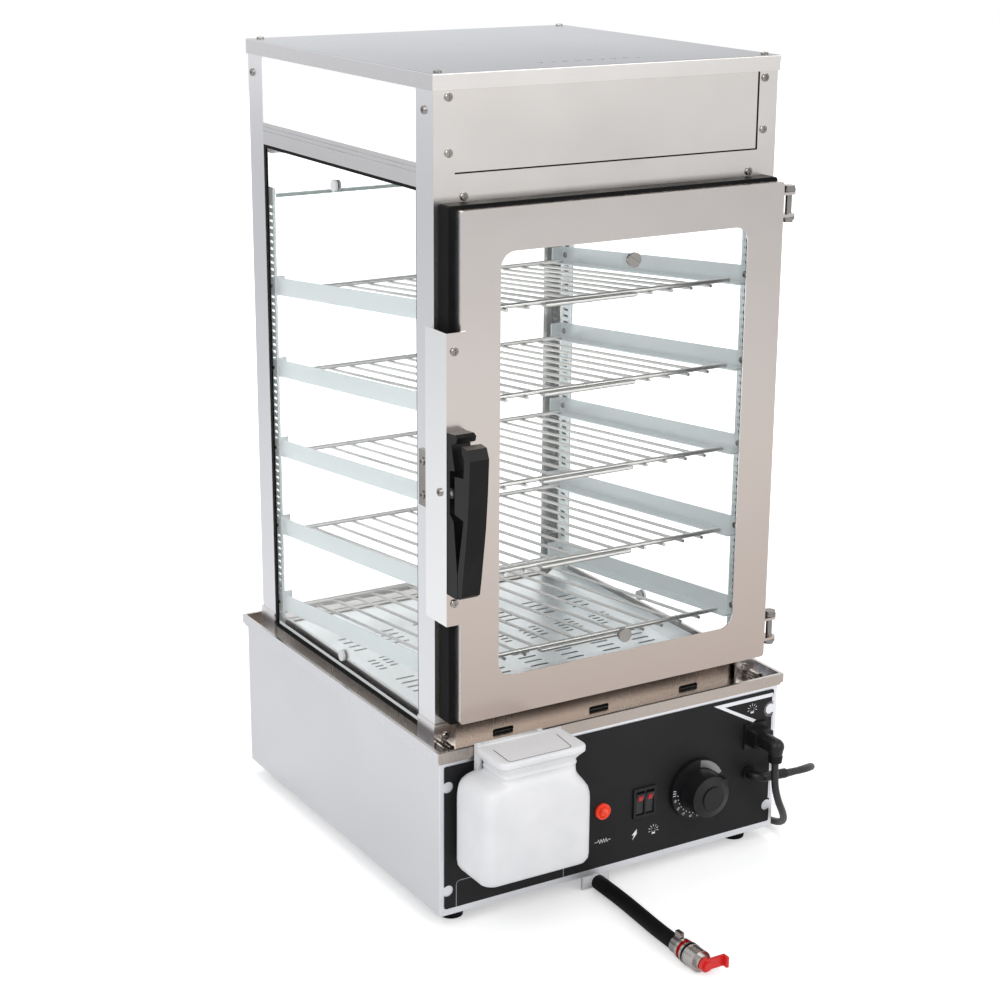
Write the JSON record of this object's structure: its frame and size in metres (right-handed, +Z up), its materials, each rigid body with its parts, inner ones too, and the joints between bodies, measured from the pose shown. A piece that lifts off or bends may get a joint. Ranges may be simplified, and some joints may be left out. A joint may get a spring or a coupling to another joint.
{
  "type": "bun steamer",
  "caption": "Countertop bun steamer: glass display cabinet with sloping wire racks, hinged glass door with latch, lit header, heated water base, tank, drain hose and leads.",
  "frame": {"origin": "on the floor under the middle of the whole, cords left out", "axes": "+Z up, front towards -Y, +X to the right seen from the front"},
  "size_m": [0.5135, 0.6251, 0.7586],
  "materials": {
    "stainless": "polished stainless sheet",
    "dark_metal": "satin",
    "bright_steel": "bright",
    "black_plastic": "satin black",
    "label_film": "black printed film",
    "white_plastic": "translucent white",
    "sign_film": "smooth",
    "clear_glass": "clear",
    "black_rubber": "matt",
    "red_lens": "clear red",
    "red_handle": "dipped",
    "grey_latch": "dark grey"
  },
  "bodies": {
    "cabinet": {"base_shell": "stainless", "front_panel": "stainless", "control_label": "label_film", "base_top": "stainless", "water_pan": "stainless", "heating_element": "bright_steel", "water_pipes": "white_plastic", "feet": "black_rubber", "body_screws": "bright_steel", "corner_posts": "stainless", "cabinet_rails": "stainless", "roof_panel": "stainless", "sign_panel": "sign_film", "lamp_box_panels": "stainless", "side_diffusers": "white_plastic", "lamp": "white_plastic", "cabinet_glass": "clear_glass", "pane_gaskets": "black_rubber", "pane_buttons": "white_plastic", "clear_clips": "clear_glass", "steam_floor": "stainless", "rack_supports": "stainless", "post_hardware": "bright_steel", "thermostat": "black_plastic", "switch_bezel": "black_plastic", "pilot_lamp": "red_lens", "lamp_socket": "black_plastic", "lamp_plug": "black_plastic", "tank_bottle": "white_plastic", "tank_neck": "white_plastic", "drain_bracket": "white_plastic", "drain_hose": "black_rubber", "hose_clamps": "bright_steel", "drain_valve": "bright_steel", "lamp_lead": "black_rubber", "lead_glands": "black_plastic", "mains_lead": "black_rubber", "mains_coil": "black_rubber", "mains_plug": "black_plastic"},
    "door": {"door_frame": "stainless", "door_glass": "clear_glass", "door_gaskets": "black_rubber", "door_buttons": "bright_steel", "door_brackets": "stainless", "door_fasteners": "bright_steel", "latch_base": "grey_latch"},
    "latch": {"latch_lever": "grey_latch"},
    "lid": {"tank_lid": "white_plastic"},
    "knob": {"thermostat_knob": "black_plastic", "knob_metal": "bright_steel"},
    "power_switch": {"rocker_power": "black_plastic", "lens_power": "red_lens"},
    "lamp_switch": {"rocker_lamp": "black_plastic", "lens_lamp": "red_lens"},
    "valve_handle": {"valve_lever": "red_handle"},
    "tray_1": {"rack_1": "bright_steel"},
    "tray_2": {"rack_2": "bright_steel"},
    "tray_3": {"rack_3": "bright_steel"},
    "tray_4": {"rack_4": "bright_steel"},
    "tray_5": {"rack_5": "bright_steel"}
  },
  "joints": [
    {"name": "door_hinge", "type": "hinge", "parent": "cabinet", "child": "door", "pos_m": [0.181, -0.16175, 0.4223], "axis": [0, 0, 1], "range_deg": [0, 120]},
    {"name": "latch_hinge", "type": "hinge", "parent": "door", "child": "latch", "pos_m": [-0.17025, -0.18125, 0.413], "axis": [-1, 0, 0], "range_deg": [0, 8]},
    {"name": "lid_hinge", "type": "hinge", "parent": "cabinet", "child": "lid", "pos_m": [-0.126, -0.18085, 0.1765], "axis": [-1, 0, 0], "range_deg": [0, 85]},
    {"name": "knob_turn", "type": "hinge", "parent": "cabinet", "child": "knob", "pos_m": [0.092, -0.173, 0.0775], "axis": [0, 1, 0], "range_deg": [0, 270]},
    {"name": "power_rocker", "type": "hinge", "parent": "cabinet", "child": "power_switch", "pos_m": [0.0274, -0.17005, 0.077], "axis": [-1, 0, 0], "range_deg": [0, 16]},
    {"name": "lamp_rocker", "type": "hinge", "parent": "cabinet", "child": "lamp_switch", "pos_m": [0.0382, -0.17005, 0.077], "axis": [-1, 0, 0], "range_deg": [0, 16]},
    {"name": "valve_turn", "type": "hinge", "parent": "cabinet", "child": "valve_handle", "pos_m": [-0.027, -0.356, 0.0109], "axis": [0, -1, 0], "range_deg": [0, 90]},
    {"name": "tray_1_lift", "type": "slide", "parent": "cabinet", "child": "tray_1", "axis": [0, 0, 1], "range_m": [0, 0.04]},
    {"name": "tray_2_lift", "type": "slide", "parent": "cabinet", "child": "tray_2", "axis": [0, 0, 1], "range_m": [0, 0.04]},
    {"name": "tray_3_lift", "type": "slide", "parent": "cabinet", "child": "tray_3", "axis": [0, 0, 1], "range_m": [0, 0.04]},
    {"name": "tray_4_lift", "type": "slide", "parent": "cabinet", "child": "tray_4", "axis": [0, 0, 1], "range_m": [0, 0.04]},
    {"name": "tray_5_lift", "type": "slide", "parent": "cabinet", "child": "tray_5", "axis": [0, 0, 1], "range_m": [0, 0.04]}
  ]
}
